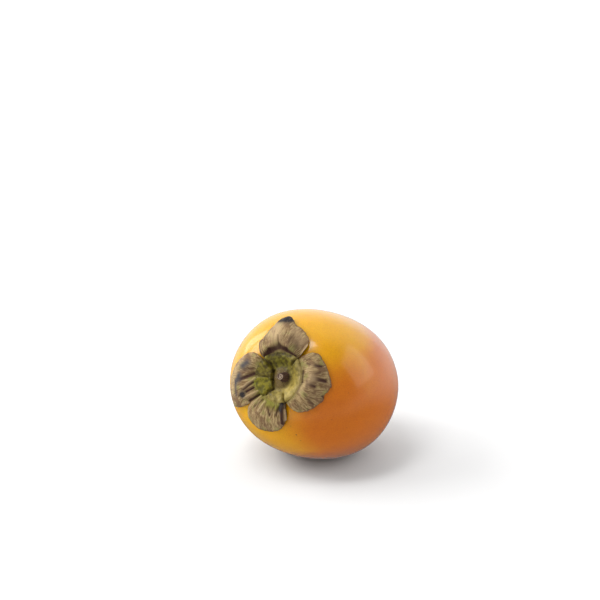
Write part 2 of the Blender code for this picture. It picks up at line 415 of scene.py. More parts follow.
DISC_STROKES = (
    # the groove between the boss and the left pad, which runs out to two of the notches, painted dark as
    # shade
    Stroke((148, 12.5), (141, 8.9), 0.6, -0.6, 1.0, "groove"),
    Stroke((141, 8.9), (155, 5.6), 0.6, -0.6, 0.9, "groove"),
    Stroke((155, 5.6), (208, 5.0), 0.5, -0.6, 0.9, "groove"),
    Stroke((208, 5.0), (250, 7.3), 0.5, -0.6, 0.9, "groove"),
    Stroke((250, 7.3), (244, 11.9), 0.5, -0.7, 1.0, "groove"),
    # the fold across the left pad, and the creases at the foot of the top lobe, all painted dark as shade
    Stroke((193, 6.5), (190, 12), 0.5, -0.5, 0.7, "groove"),
    Stroke((125, 11.8), (95, 11.4), 0.7, -0.3, 0.8, "groove"),
    Stroke((95, 11.4), (70, 11.8), 0.6, -0.3, 0.6, "groove"),
    Stroke((297, 9.0), (297, 12.4), 0.5, -0.4, 0.7, "groove"),
    Stroke((56, 9.5), (56, 12.4), 0.5, -0.4, 0.6, "groove"),
)

# Colours on the lobes that have no height of their own. The grey-blue patches are painted shade along
# folded parts of the left lobe; the black tips and spots and the green at the roots are the lobes' own
# colours.
BLOTCHES = (
    Stroke((171, 17.0), (177, 18.2), 1.7, stain_and_painted_light=1.0, layer="blue"),
    Stroke((190, 19.2), (197, 20.0), 1.3, stain_and_painted_light=1.0, layer="blue"),
    Stroke((197, 21.0), (212, 22.6), 0.8, stain_and_painted_light=0.8, layer="blue"),
    Stroke((216, 19.4), (216, 19.5), 1.45, stain_and_painted_light=1.6, layer="black"),
    Stroke((215.5, 30.0), (215.5, 30.4), 0.9, stain_and_painted_light=1.5, layer="black"),
    Stroke((101, 26.9), (108, 26.9), 2.3, stain_and_painted_light=2.4, layer="black"),
    Stroke((98, 26.6), (110, 26.6), 0.9, stain_and_painted_light=1.2, layer="black"),
    Stroke((290, 13.4), (288, 15.2), 1.1, stain_and_painted_light=1.5, layer="black"),
    Stroke((1, 24.8), (1, 25.2), 0.5, stain_and_painted_light=1.2, layer="black"),
    Stroke((200, 12.6), (234, 12.6), 1.7, stain_and_painted_light=1.0, layer="green"),
    Stroke((252, 13.5), (280, 14.0), 1.8, stain_and_painted_light=0.8, layer="green"),
)

SKIN_TINTS = (
    Tint(SKIN_AMBER, 1.0, "ripeness", 0.0, 0.55),
    Tint(SKIN_ORANGE, 1.0, "ripeness", 0.45, 1.0),
)

LOBE_TINTS = (
    # streaks and patches all over the lobe
    Tint("B49A6C", 1.0, "streaks", 0.34, 0.64),
    Tint("C6B082", 0.8, "fine", 0.52, 0.68),
    Tint("54391F", 0.55, "fine", 0.46, 0.34),
    Tint("70523A", 0.75, "patch", 0.5, 0.64),
    Tint("8F8C4E", 0.6, "patch", 0.46, 0.34),
    # darker in the troughs of the fibres: painted shade
    Tint("4A3320", 0.25, "fibre", -0.1, -0.9),
    # greener at the root; darker at the edge, partly the margin's own brown and partly painted shade
    # along the outline
    Tint("6E6A2E", 0.5, "streaks", 0.25, 0.5, "root"),
    Tint("5E3826", 0.85, "streaks", 0.3, 0.55, "edge"),
    # the strokes and blotches, broken up by the fine fibres, and the underside. The dark and grey-blue
    # tints and the darker underside are painted shade, and the pale tint partly painted highlight; green
    # and black are the lobes' own colours.
    Tint("86862A", 1.0, "streaks", 0.3, 0.55, "green"),
    Tint("40261F", 1.0, "fine", 0.2, 0.45, "dark"),
    Tint("C8AC82", 1.0, "fine", 0.2, 0.45, "pale"),
    Tint("4C484A", 1.0, "fine", 0.2, 0.45, "blue"),
    Tint("2C282A", 1.0, "fine", 0.2, 0.45, "black"),
    Tint("4A3428", 0.9, mask="under"),
)

DISC_COVERS = (
    Cover("moss", "lumps", 0.4, 0.6, "4C430A", "7A721C"),
    # painted light on the bowl's wall that faces the lamps
    Cover("lit_wall", "lumps", 0.35, 0.6, "92803A", "B8A252"),
    Cover("pad", "lumps", 0.4, 0.6, "565006", "867C18"),
    Cover("boss", "grain", 0.35, 0.65, "4E3C18", "7A6430"),
)

DISC_LUMP_TINTS = (
    Tint("786A1E", 1.0, "lumps", 0.38, 0.62),
)

DISC_TOP_TINTS = (
    # painted light on the right side of the rim
    Tint("8E7A4C", 1.0, "lumps", 0.35, 0.6, "rim"),
    Tint("B4AE68", 0.35, "grain", 0.62, 0.75),
    # painted shade in the grooves and creases
    Tint("3A2C14", 0.75, mask="groove"),
)


def bell(distance, width):
    """1 at no distance, falling smoothly to 0 beyond the width."""
    return np.exp(-((distance / width) ** 2))


def smooth_step(value, low, high):
    """0 under low, 1 over high, and smooth in between."""
    share = np.clip((value - low) / (high - low), 0, 1)
    return share * share * (3 - 2 * share)


def through(knots, at):
    """A smooth curve through the knots, read at the given places."""
    places, values = np.array(knots, float).T
    slopes = np.gradient(values, places)
    index = np.clip(np.searchsorted(places, at) - 1, 0, len(places) - 2)
    span = places[index + 1] - places[index]
    share = np.clip((at - places[index]) / span, 0, 1)
    rest = 1 - share
    return (values[index] * (1 + 2 * share) * rest ** 2 + slopes[index] * span * share * rest ** 2
            + values[index + 1] * (3 - 2 * share) * share ** 2
            - slopes[index + 1] * span * share ** 2 * rest)


def lattice_noise(x, y, seed):
    """Smooth noise from -1 to 1 with one bump about every unit of x and y."""
    size = 97
    table = np.random.default_rng(seed).uniform(-1, 1, (size, size))
    column, row = np.floor(x).astype(int), np.floor(y).astype(int)
    across, up = smooth_step(x - column, 0, 1), smooth_step(y - row, 0, 1)
    left, right = column % size, (column + 1) % size
    low, high = row % size, (row + 1) % size
    bottom = table[left, low] * (1 - across) + table[right, low] * across
    top = table[left, high] * (1 - across) + table[right, high] * across
    return bottom * (1 - up) + top * up


def layered_noise(x, y, seed, layers=3):
    """Lattice noise with finer and fainter layers on it, each with its own seed."""
    total = 0
    for layer in range(layers):
        total = total + lattice_noise(x * 2 ** layer, y * 2 ** layer, seed + layer) / 2 ** layer
    return total


def skin(polar, bearing):
    """Points on the fruit's skin in fruit coordinates, before it settles on the floor."""
    cosine = np.cos(polar)
    calyx_share = 0.5 + 0.5 * np.tanh(cosine / HALF_BLEND)
    length = BLOSSOM_LENGTH + (CALYX_LENGTH - BLOSSOM_LENGTH) * calyx_share
    squareness = BLOSSOM_SQUARENESS + (SHOULDER_SQUARENESS - BLOSSOM_SQUARENESS) * calyx_share
    across = (np.sin(polar) / BODY_RADIUS) ** squareness
    along = (np.abs(cosine) / length) ** squareness
    reach = (across + along) ** (-1 / squareness)
    swell = SIDE_FLATTENING * np.cos(2 * bearing) - SHOULDER_LOBING * np.cos(4 * bearing)
    reach = reach * (1 + swell * np.sin(polar) ** 2)
    radius = reach * np.sin(polar)
    hollow = HOLLOW_DEPTH * bell(radius, HOLLOW_RADIUS) * (cosine > 0)
    dimple = DIMPLE_DEPTH * bell(radius, DIMPLE_RADIUS) * (cosine < 0)
    height = reach * cosine - hollow + dimple
    return np.stack([radius * np.cos(bearing), radius * np.sin(bearing), height], axis=-1)


def polar_at(radius):
    """The polar angle at which the calyx half of the skin is this far from the axis."""
    angles = np.linspace(0, math.pi / 2, num=400)
    return np.interp(radius, skin(angles, math.pi / 4 + 0 * angles)[:, 0] * math.sqrt(2), angles)


def above_skin(distance, bearing, lift):
    """Points this far from the axis on the calyx end, raised along the skin's normal. In mm."""
    step = 1e-3
    polar = np.maximum(polar_at(distance * MM), 2 * step)
    outward = skin(polar + step, bearing) - skin(polar - step, bearing)
    sideways = skin(polar, bearing + step) - skin(polar, bearing - step)
    normal = np.cross(outward, sideways)
    normal /= np.linalg.norm(normal, axis=-1, keepdims=True)
    return skin(polar, bearing) + normal * (np.asarray(lift) * MM)[..., None]


def to_floor(points):
    """Turns fruit coordinates so that the axis is tipped up and points towards -Y."""
    up_and_back = np.array([0, math.sin(AXIS_TILT), math.cos(AXIS_TILT)])
    axis = np.array([0, -math.cos(AXIS_TILT), math.sin(AXIS_TILT)])
    across = np.array([1.0, 0, 0])
    return points @ np.stack([across, up_and_back, axis])


def resting_shift():
    """Brings the lowest skin to FLAT_DEPTH under the floor, and the flat spot over the origin."""
    polar = np.linspace(math.pi / 2, math.pi, num=2000)
    underside = to_floor(skin(polar, -math.pi / 2 + 0 * polar))
    lowest = underside[:, 2].min()
    pressed = underside[underside[:, 2] < lowest + FLAT_DEPTH]
    middle = (pressed[:, 1].min() + pressed[:, 1].max()) / 2
    return np.array([0, -middle, -lowest - FLAT_DEPTH])


SHIFT = resting_shift()


def place(points):
    """Fruit coordinates to the finished object's, with the underside settled on the floor."""
    placed = to_floor(points) + SHIFT
    height = placed[..., 2]
    eased = np.where(height > FLAT_SOFTNESS, height - FLAT_SOFTNESS / 2,
                     height ** 2 / (2 * FLAT_SOFTNESS))
    placed[..., 2] = np.where(height > 0, eased, 0)
    return placed


def on_plane(bearing, distance):
    """A place on the calyx end, seen along the axis, as x and y in mm."""
    return np.stack([distance * np.cos(np.radians(bearing)), distance * np.sin(np.radians(bearing))], -1)


def along_stroke(points, stroke):
    """1 on the stroke's line, falling to 0 away from it."""
    start, end = on_plane(*stroke.start), on_plane(*stroke.end)
    line = end - start
    share = np.clip(((points - start) @ line) / (line @ line), 0, 1)
    nearest = start + share[..., None] * line
    return bell(np.linalg.norm(points - nearest, axis=-1), stroke.width)


def relief(points, strokes):
    """Height in mm that the strokes add at these points."""
    return sum(stroke.height * along_stroke(points, stroke) for stroke in strokes)


def stain_and_painted_light(points, strokes, layer):
    """How far the strokes of one layer colour these points, from 0 to 1."""
    total = sum(mark.stain_and_painted_light * along_stroke(points, mark) for mark in strokes if mark.layer == layer)
    return np.clip(total, 0, 1)


def turn_from(bearing, other):
    """The turn from one bearing to another, from -180 to 180 degrees."""
    return (bearing - other + 180) % 360 - 180


def add_piece(name, points, faces, material, layers):
    """Adds the fine mesh that replaces one piece of the part. Its material reads the layers."""
    mesh = bpy.data.meshes.new(name)
    mesh.from_pydata(place(points).tolist(), [], faces)
    mesh.validate()
    for layer, values in layers.items():
        is_vector = np.ndim(values) == 2
        attribute = mesh.attributes.new(layer, "FLOAT_VECTOR" if is_vector else "FLOAT", "POINT")
        field = "vector" if is_vector else "value"
        attribute.data.foreach_set(field, np.asarray(values, np.float32).ravel())
    mesh.shade_smooth()
    mesh.materials.append(material)
    obj = bpy.data.objects.new(name + "_fine", mesh)
    bpy.context.scene.collection.objects.link(obj)
    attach(obj, "root")
    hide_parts(name)


def ring_bearings(steps):
    """Bearings in radians of points spread evenly round a ring."""
    return np.arange(steps) * 2 * math.pi / steps


def ring_faces(rings, steps):
    """Faces of a closed shape whose points are a pole, rows of steps points, and a pole."""
    faces = []
    for i in range(steps):
        after = (i + 1) % steps
        faces.append((0, 1 + i, 1 + after))
        for row in range(rings - 1):
            near = 1 + row * steps
            far = near + steps
            faces.append((near + i, far + i, far + after, near + after))
        last = 1 + (rings - 1) * steps
        faces.append((last + steps, last + after, last + i))
    return faces


def joined_rings(rings):
    """One list from rings whose first and last have all their points at a pole."""
    return np.concatenate([rings[0][:1], *rings[1:-1], rings[-1][:1]])


def closed_rings(rings):
    """Points and faces of the closed shape that the rings make."""
    return joined_rings(rings), ring_faces(len(rings) - 2, len(rings[0]))


def slab_faces(rows, columns):
    """Faces of a closed slab whose points are an underside of rows and columns, then a top."""
    sheet = rows * columns
    index = np.arange(sheet).reshape(rows, columns)
    inner, outer = index[:-1, :-1], index[1:, :-1]
    inner_after, outer_after = index[:-1, 1:], index[1:, 1:]
    under = np.stack([inner, inner_after, outer_after, outer], -1).reshape(-1, 4)
    top = sheet + np.stack([inner, outer, outer_after, inner_after], -1).reshape(-1, 4)
    border = np.concatenate([index[0], index[1:, -1], index[-1, -2::-1], index[-2:0:-1, 0]])
    after = np.roll(border, -1)
    walls = np.stack([border, sheet + border, sheet + after, after], -1)
    return np.concatenate([under, top, walls]).tolist()


def make_body(material):
    """The whole fruit, skin and flesh."""
    bearings = ring_bearings(BODY_STEPS)
    rings = []
    for polar in np.linspace(0, math.pi, BODY_ROWS):
        ring = skin(polar, bearings)
        direction = ring / np.linalg.norm(ring, axis=-1, keepdims=True)
        wave = layered_noise(WAVE_PLACE + WAVE_BUMPS * direction[:, 0] + WAVE_SLANT * direction[:, 2],
                             WAVE_PLACE + WAVE_BUMPS * direction[:, 1] - WAVE_SLANT * direction[:, 2],
                             seed=5, layers=2)
        rings.append(ring + direction * (wave * WAVE_HEIGHT)[:, None])
    points, faces = closed_rings(rings)
    add_piece("fruit_body", points, faces, material, {"fruit": points / BODY_RADIUS})


def boss_reach(bearing):
    """Distance from the axis to the foot of the boss."""
    return BOSS_RADIUS + BOSS_STRETCH * bell(turn_from(bearing, BOSS_BEARING), BOSS_SPREAD)


def pad_share(bearing):
    """1 along the left side of the disc, where the green pad lies."""
    return smooth_step(bearing, *PAD_START) * (1 - smooth_step(bearing, *PAD_END))


def disc_top(distance, bearing, plane):
    """Lift of the disc's top in mm: a boss, a bowl round it, a rim, and the left lobe's pad."""
    boss = (BOSS_LIFT - BOWL_LIFT) * np.exp(-((distance / boss_reach(bearing)) ** BOSS_SQUARENESS))
    rim = (RIM_LIFT - BOWL_LIFT) * smooth_step(distance, *RIM_RISE)
    lift = BOWL_LIFT + boss + rim - RIM_DROP * smooth_step(distance, *RIM_FALL)
    pad = PAD_LIFT * smooth_step(distance, *PAD_RISE)
    lift = lift + pad_share(bearing) * np.maximum(pad - lift, 0) * smooth_step(distance, *PAD_EDGE)
    for notch in NOTCH_BEARINGS:
        aside = np.radians(turn_from(bearing, notch)) * distance
        lift = lift - NOTCH_DEPTH * bell(aside, NOTCH_WIDTH) * smooth_step(distance, *NOTCH_REACH)
    return lift + relief(plane, DISC_STROKES)


def disc_layers(distance, bearing, plane):
    """How far each colour of the disc shows at these points."""
    pad_width = smooth_step(bearing, *PAD_TINT_START) * (1 - smooth_step(bearing, *PAD_TINT_END))
    layers = {
        "boss": 1 - smooth_step(distance / boss_reach(bearing), *BOSS_TINT_END),
        "groove": stain_and_painted_light(plane, DISC_STROKES, "groove"),
        "pad": pad_width * smooth_step(distance, *PAD_TINT_RISE),
    }
    for layer, (middle, spread, start, full) in SIDE_TINTS.items():
        layers[layer] = bell(turn_from(bearing, middle), spread) * smooth_step(distance, start, full)
    return layers


def disc_ring(distance, is_under):
    """A ring of the disc's points, their places seen along the axis, and their colours."""
    bearings = ring_bearings(DISC_STEPS)
    degrees = np.degrees(bearings)
    spread = np.full(DISC_STEPS, distance)
    plane = on_plane(degrees, spread)
    if is_under:
        lift = np.full(DISC_STEPS, DISC_UNDERSIDE)
    else:
        at = LUMP_PLACE + plane / LUMP_SIZE
        lumps = layered_noise(at[:, 0], at[:, 1], seed=8)
        lift = disc_top(spread, degrees, plane) + LUMP_HEIGHT * lumps * smooth_step(spread, *LUMP_FADE)
    return above_skin(spread, bearings, lift), plane, disc_layers(spread, degrees, plane)


def make_disc(material):
    top = [disc_ring(distance, False) for distance in np.linspace(0, DISC_RADIUS, DISC_RINGS)]
    under = [disc_ring(distance, True) for distance in np.linspace(DISC_RADIUS, 0, DISC_UNDER_RINGS)]
    rings, planes, shades = zip(*top, *under)
    points, faces = closed_rings(rings)
    plane = joined_rings(planes)
    layers = {"calyx": np.concatenate([plane, np.zeros((len(plane), 1))], axis=1)}
    for layer in shades[0]:
        layers[layer] = joined_rings([shade[layer] for shade in shades])
    add_piece("calyx_disc", points, faces, material, layers)


def lobe_shape(lobe, outward, around):
    """Bearing, distance and upper lift of one lobe's points, and how fibrous they are."""
    bearing = lobe.edge[0][0] + (lobe.edge[-1][0] - lobe.edge[0][0]) * (around + 1) / 2
    ragged = RAGGEDNESS * layered_noise(bearing * RAGGED_BUMPS, 0 * bearing, lobe.seed)
    edge = through(lobe.edge, bearing) + ragged
    distance = LOBE_ROOT + (edge - LOBE_ROOT) * outward
    height = through(lobe.spine, outward)
    fall = np.abs(around) ** lobe.squareness
    lift = height + (np.minimum(lobe.margin_lift, height) - height) * fall
    fibre = layered_noise(bearing * FIBRE_BUMPS[0], outward * FIBRE_BUMPS[1] + FIBRE_PLACE,
                          lobe.seed + FIBRE_SEED)
    ripple = RIPPLE_DEPTH * layered_noise(bearing * RIPPLE_BUMPS[0], outward * RIPPLE_BUMPS[1],
                                          lobe.seed + RIPPLE_SEED, layers=2)
    surface = (FIBRE_DEPTH * fibre + ripple) * smooth_step(outward, *SURFACE_START)
    lift = lift + relief(on_plane(bearing, distance), STROKES) + surface
    return bearing, distance, lift, fibre


def lobe_layers(lobe, outward, around, bearing, distance):
    """What the dry lobe's material reads from one sheet of a lobe's points, apart from the fibres."""
    plane = on_plane(bearing, distance)
    level = np.zeros_like(outward)
    across, along = bearing * GRAIN_BUMPS[0], outward * GRAIN_BUMPS[1]
    layers = {
        "calyx": np.concatenate([plane, level[..., None]], -1),
        "grain": np.stack([across, along, level + lobe.seed], -1),
        "root": 1 - smooth_step(distance, *ROOT_ZONE),
        "edge": np.maximum(smooth_step(outward, *OUTER_ZONE), smooth_step(np.abs(around), *SIDE_ZONE)),
    }
    for layer in ("green", "dark", "pale", "blue", "black"):
        layers[layer] = stain_and_painted_light(plane, STROKES + BLOTCHES, layer)
    return layers


def make_lobe(lobe, material):
    """One dried lobe: a thin, fibrous slab that stands just clear of the skin."""
    places = np.sin(np.linspace(-math.pi / 2, math.pi / 2, LOBE_COLUMNS))
    outward, around = np.meshgrid(np.linspace(0, 1, LOBE_ROWS), places, indexing="ij")
    bearing, distance, lift, fibre = lobe_shape(lobe, outward, around)
    thickness = EDGE_THICKNESS + ROOT_THICKNESS * (1 - outward ** 3) * (1 - around ** 4)
    under_lift = np.maximum(lift - thickness, LOBE_CLEARANCE)
    top_lift = np.maximum(lift, under_lift + LEAST_THICKNESS)
    lifts = (under_lift, top_lift)
    sheets = [above_skin(distance, np.radians(bearing), sheet_lift) for sheet_lift in lifts]
    points = np.concatenate(sheets).reshape(-1, 3)
    # the underside sheet is marked so that its colour is painted darker, as shade
    layers = {"under": np.repeat([1.0, 0.0], outward.size)}
    sheet_layers = lobe_layers(lobe, outward, around, bearing, distance)
    for layer, values in {**sheet_layers, "fibre": fibre}.items():
        layers[layer] = np.concatenate([values, values]).reshape(2 * outward.size, *values.shape[2:])
    faces = slab_faces(LOBE_ROWS, LOBE_COLUMNS)
    add_piece(lobe.name, points, faces, material, layers)


def peg_rings(foot, height, base_radius, top_radius, steps, direction, seed):
    """Rings of a short, rough, tapered peg along the fruit's axis, with a hollowed top."""
    bearings = direction * ring_bearings(steps)
    circle = np.stack([np.cos(bearings), np.sin(bearings), 0 * bearings], axis=-1)
    bumps = PEG_PLACE + PEG_BUMPS * circle
    along = np.array([0, 0, direction])
    rings = [foot + 0 * circle]
    for share in np.linspace(0, 1, PEG_SIDE_RINGS):
        radius = top_radius + (base_radius - top_radius) * (1 - share) ** 2
        rough = 1 + PEG_ROUGHNESS * layered_noise(bumps[:, 0], bumps[:, 1] + share, seed)
        rings.append(foot + (radius * rough)[:, None] * circle + share * height * along)
    for share in np.linspace(*PEG_TOP_SPAN, PEG_TOP_RINGS):
        wave = np.cos(share * PEG_GROOVES) * share - (1 - share) * PEG_HOLLOW
        top = height + PEG_GROOVE_DEPTH * height * wave
        rings.append(foot + share * top_radius * circle + top * along)
    rings.append(foot + 0 * circle + (height * PEG_MIDDLE) * along)
    return rings[::-1]


def make_stub(material):
    """The short broken stalk in the boss."""
    distance, bearing = np.array([STUB_DISTANCE]), np.radians([STUB_BEARING])
    foot = above_skin(distance, bearing, np.array([BOSS_LIFT - STUB_ROOTING]))[0]
    length = STUB_HEIGHT + STUB_ROOTING
    rings = peg_rings(foot, length * MM, STUB_BASE_RADIUS * MM, STUB_TOP_RADIUS * MM,
                      STUB_STEPS, 1, seed=4)
    points, faces = closed_rings(rings)
    from_foot = (points - foot) / MM
    outward = np.linalg.norm(from_foot[:, :2], axis=1) / STUB_TOP_RADIUS
    layers = {"stalk": from_foot, "height": from_foot[:, 2] / length, "outward": outward}
    add_piece("pedicel_stub", points, faces, material, layers)


def make_style(material):
    """The dry style at the blossom end. It has no cut face, so all of it is coloured as a side."""
    foot = skin(np.array(math.pi), np.array(0.0)) + np.array([0, 0, STYLE_ROOTING * MM])
    rings = peg_rings(foot, STYLE_HEIGHT * MM, STYLE_BASE_RADIUS * MM, STYLE_TOP_RADIUS * MM,
                      STYLE_STEPS, -1, seed=6)
    points, faces = closed_rings(rings)
    none = np.zeros(len(points))
    layers = {"stalk": (points - foot) / MM, "height": none, "outward": none + 1}
    add_piece("style_tip", points, faces, material, layers)


def screen_colour(code):
    """A linear colour from the six digits of a screen colour."""
    parts = [int(code[i:i + 2], 16) / 255 for i in (0, 2, 4)]
    linear = [((part + 0.055) / 1.055) ** 2.4 if part > 0.04045 else part / 12.92 for part in parts]
    return (*linear, 1.0)


class Surface:
    """A Principled material, with short ways to add nodes to it. A colour may be six digits."""

    def __init__(self, name, finish):
        self.material = bpy.data.materials.new(name)
        self.material.use_nodes = True
        self.tree = self.material.node_tree
        self.shader = self.tree.nodes["Principled BSDF"]
        for socket, value in finish.items():
            self.shader.inputs[socket].default_value = value

    def feed(self, socket, value):
        """Links a socket to another, or sets it."""
        if isinstance(value, bpy.types.NodeSocket):
            self.tree.links.new(value, socket)
        else:
            socket.default_value = screen_colour(value) if isinstance(value, str) else value

    def add(self, kind, inputs, output=0, **settings):
        """Adds a node and gives one of its outputs."""
        node = self.tree.nodes.new(kind)
        for setting, value in settings.items():
            setattr(node, setting, value)
        for socket, value in inputs.items():
            self.feed(node.inputs[socket], value)
        return node.outputs[output]

    def layer(self, name, output="Fac"):
        """A value, or with output="Vector" a vector, that the mesh holds at its points."""
        return self.add("ShaderNodeAttribute", {}, output, attribute_name=name)

    def maths(self, operation, *values):
        return self.add("ShaderNodeMath", dict(enumerate(values)), operation=operation)

    def vector(self, operation, *values, output=0):
        return self.add("ShaderNodeVectorMath", dict(enumerate(values)), output, operation=operation)

    def noise(self, vector, bumps, detail=3.0, roughness=0.5):
        inputs = {"Vector": vector, "Scale": bumps, "Detail": detail, "Roughness": roughness}
        return self.add("ShaderNodeTexNoise", inputs)

    def stretched_noise(self, vector, stretch, detail, roughness):
        return self.noise(self.vector("MULTIPLY", vector, stretch), 1.0, detail, roughness)

    def rise(self, value, low, high):
        """0 where the value is at low, 1 at high, and smooth in between. low may be the greater."""
        inputs = {"Value": value, "From Min": low, "From Max": high}
        return self.add("ShaderNodeMapRange", inputs, interpolation_type="SMOOTHSTEP")

    def blend(self, share, low, high):
        """From one colour to another. A colour mix has its colours at sockets 6 and 7."""
        return self.add("ShaderNodeMix", {0: share, 6: low, 7: high}, 2, data_type="RGBA")

    def shade(self, colour, factor):
        """The colour times another."""
        inputs = {0: 1.0, 6: colour, 7: factor}
        return self.add("ShaderNodeMix", inputs, 2, data_type="RGBA", blend_type="MULTIPLY")

    def tinted(self, colour, tints, patterns):
        """The colour with tints laid over it in turn. patterns holds the sockets that they name."""
        for tint in tints:
            share = self.layer(tint.mask) if tint.mask else 1.0
            if tint.pattern:
                rise = self.rise(patterns[tint.pattern], tint.low, tint.high)
                share = self.maths("MULTIPLY", share, rise)
            colour = self.blend(self.maths("MULTIPLY", share, tint.strength), colour, tint.colour)
        return colour

    def covered(self, colour, covers, patterns):
        """The colour with patchy covers laid over it in turn."""
        for cover in covers:
            lightness = self.rise(patterns[cover.pattern], cover.low, cover.high)
            patchy = self.blend(lightness, cover.dark, cover.light)
            colour = self.blend(self.layer(cover.mask), colour, patchy)
        return colour

    def finish(self, colour, roughness=None, height=None, depth=0.0):
        """Gives the shader its colour, its roughness, and bumps of this depth in metres."""
        self.feed(self.shader.inputs["Base Color"], colour)
        if roughness is not None:
            self.feed(self.shader.inputs["Roughness"], roughness)
        if height is not None:
            bump = self.add("ShaderNodeBump", {"Strength": 1.0, "Distance": depth, "Height": height})
            self.feed(self.shader.inputs["Normal"], bump)
        return self.material


def skin_ripeness(surface, fruit):
    """0 where the skin is yellow and 1 where it has turned orange, with a cloudy border."""
    direction = surface.vector("NORMALIZE", fruit)
    cloud = surface.maths("MULTIPLY", surface.noise(fruit, CLOUD_BUMPS, detail=2.0), CLOUD_DEPTH)
    ripeness = 0.0
    for side, yellow_angle, orange_angle in RIPE_SIDES:
        cosine = surface.vector("DOT_PRODUCT", direction, side, output="Value")
        angle = surface.maths("ADD", surface.maths("ARCCOSINE", cosine), cloud)
        ripeness = surface.maths("MAXIMUM", ripeness, surface.rise(angle, yellow_angle, orange_angle))
    return ripeness


def skin_specks(surface, fruit):
    """A few small specks strewn over the skin, as a share of darkening."""
    cells = {"Vector": fruit, "Scale": SPECK_CELLS}
    from_middle = surface.add("ShaderNodeTexVoronoi", cells, "Distance")
    cell_colour = surface.add("ShaderNodeTexVoronoi", cells, "Color")
    pick = surface.rise(surface.add("ShaderNodeSeparateColor", {0: cell_colour}), *SPECK_PICK)
    speck = surface.maths("MULTIPLY", surface.rise(from_middle, *SPECK_RISE), pick)
    return surface.maths("MULTIPLY", speck, SPECK_STRENGTH)


def skin_marks(surface, fruit):
    """Small dark marks and one scratch on the skin, as a share of darkening."""
    total = 0.0
    for bearing, polar, radius, strength in SKIN_MARKS:
        place_of_mark = skin(np.radians(polar), np.radians(bearing)) / BODY_RADIUS
        away = surface.vector("DISTANCE", fruit, tuple(place_of_mark), output="Value")
        edge = radius * MM / BODY_RADIUS
        spot = surface.rise(away, edge, MARK_CORE * edge)
        total = surface.maths("MULTIPLY_ADD", spot, strength, total)
    return total


def make_skin_material():
    finish = {"Coat Weight": 0.32, "Coat Roughness": 0.09, "Subsurface Weight": 0.1,
              "Subsurface Scale": 0.002, "Specular IOR Level": 0.34}
    surface = Surface("persimmon_skin", finish)
    fruit = surface.layer("fruit", "Vector")
    mottle = surface.noise(fruit, MOTTLE_BUMPS, detail=4.0)
    pores = surface.rise(surface.noise(fruit, PORE_BUMPS, detail=2.0), *PORE_RISE)
    colour = surface.tinted(SKIN_YELLOW, SKIN_TINTS, {"ripeness": skin_ripeness(surface, fruit)})
    colour = surface.shade(colour, surface.blend(mottle, MOTTLE_SHADE, WHITE))
    colour = surface.shade(colour, surface.blend(pores, PORE_SHADE, WHITE))
    colour = surface.blend(skin_specks(surface, fruit), colour, SPECK_COLOUR)
    colour = surface.blend(skin_marks(surface, fruit), colour, MARK_COLOUR)
    # in the light that it throws on the floor the skin is greyer, which keeps the shadow neutral
    thrown = surface.add("ShaderNodeLightPath", {}, "Is Diffuse Ray")
    colour = surface.blend(surface.maths("MULTIPLY", thrown, THROWN_PALENESS), colour, THROWN_COLOUR)
    return surface.finish(colour, surface.maths("MULTIPLY_ADD", mottle, *SKIN_ROUGHNESS))


def make_lobe_material():
    surface = Surface("dry_calyx_lobe", {"Specular IOR Level": 0.15})
    calyx = surface.layer("calyx", "Vector")
    sway = surface.add("ShaderNodeTexNoise", {"Vector": calyx, "Scale": SWAY_BUMPS}, "Color")
    sway = surface.add("ShaderNodeVectorMath", {0: sway, "Scale": FIBRE_SWAY}, operation="SCALE")
    grain = surface.vector("ADD", surface.layer("grain", "Vector"), sway)
    streaks = surface.stretched_noise(grain, STREAK_STRETCH, detail=4.0, roughness=0.65)
    fine = surface.stretched_noise(grain, FINE_STRETCH, detail=3.0, roughness=0.6)
    patch = surface.noise(surface.vector("ADD", calyx, PATCH_PLACE), PATCH_BUMPS)
    patterns = {"streaks": streaks, "fine": fine, "patch": patch, "fibre": surface.layer("fibre")}
    colour = surface.tinted(LOBE_BROWN, LOBE_TINTS, patterns)
    roughness = surface.maths("MULTIPLY_ADD", fine, *LOBE_ROUGHNESS)
    height = surface.maths("MULTIPLY_ADD", fine, LOBE_FINE_RIDGES, streaks)
    return surface.finish(colour, roughness, height, LOBE_BUMP)


def make_disc_material():
    finish = {"Coat Weight": 0.15, "Coat Roughness": 0.15, "Specular IOR Level": 0.25}
    surface = Surface("green_calyx_disc", finish)
    calyx = surface.layer("calyx", "Vector")
    lumps = surface.noise(calyx, DISC_LUMP_BUMPS, detail=4.0, roughness=0.6)
    grain = surface.noise(calyx, DISC_GRAIN_BUMPS, detail=3.0, roughness=0.6)
    patterns = {"lumps": lumps, "grain": grain}
    colour = surface.tinted(DISC_OLIVE, DISC_LUMP_TINTS, patterns)
    colour = surface.covered(colour, DISC_COVERS, patterns)
    colour = surface.tinted(colour, DISC_TOP_TINTS, patterns)
    roughness = surface.maths("MULTIPLY_ADD", lumps, *DISC_ROUGHNESS)
    height = surface.maths("MULTIPLY_ADD", lumps, DISC_LUMP_RIDGES, grain)
    return surface.finish(colour, roughness, height, DISC_BUMP)


